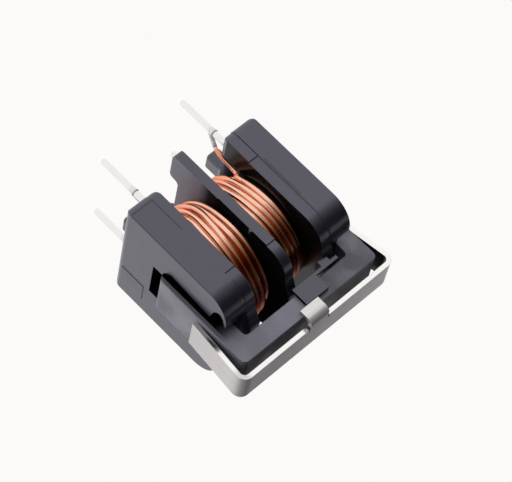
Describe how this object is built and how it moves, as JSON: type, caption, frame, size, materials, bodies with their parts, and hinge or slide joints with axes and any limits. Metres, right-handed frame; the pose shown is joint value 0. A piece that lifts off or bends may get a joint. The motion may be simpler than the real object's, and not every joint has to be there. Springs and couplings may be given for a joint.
{
  "type": "common mode choke",
  "caption": "Common mode choke: copper windings on a flanged black bobbin, a split ferrite ring held by a folded spring clip, and tinned pins for a circuit board.",
  "frame": {"origin": "centre of the pin pattern on the surface of the circuit board, level with the feet", "axes": "+Z away from the board, +X along the windings, -Y towards the face with the folded tab of the clip"},
  "size_m": [0.0176, 0.0124, 0.0224],
  "materials": {
    "bobbin": "satin black moulded thermoset",
    "ferrite": "ground dark grey ferrite",
    "clip": "rolled stainless spring strip",
    "copper": "enamelled copper wire",
    "pin": "bright tin",
    "solder": "solder"
  },
  "bodies": {
    "root": {"bobbin": "bobbin", "core_clip": "clip", "core_half_left": "ferrite", "core_half_right": "ferrite", "pin_back_left": "pin", "pin_back_right": "pin", "pin_front_left": "pin", "pin_front_right": "pin", "solder_back_left": "solder", "solder_back_right": "solder", "solder_front_left": "solder", "solder_front_right": "solder", "winding_left": "copper", "winding_right": "copper"}
  },
  "joints": []
}
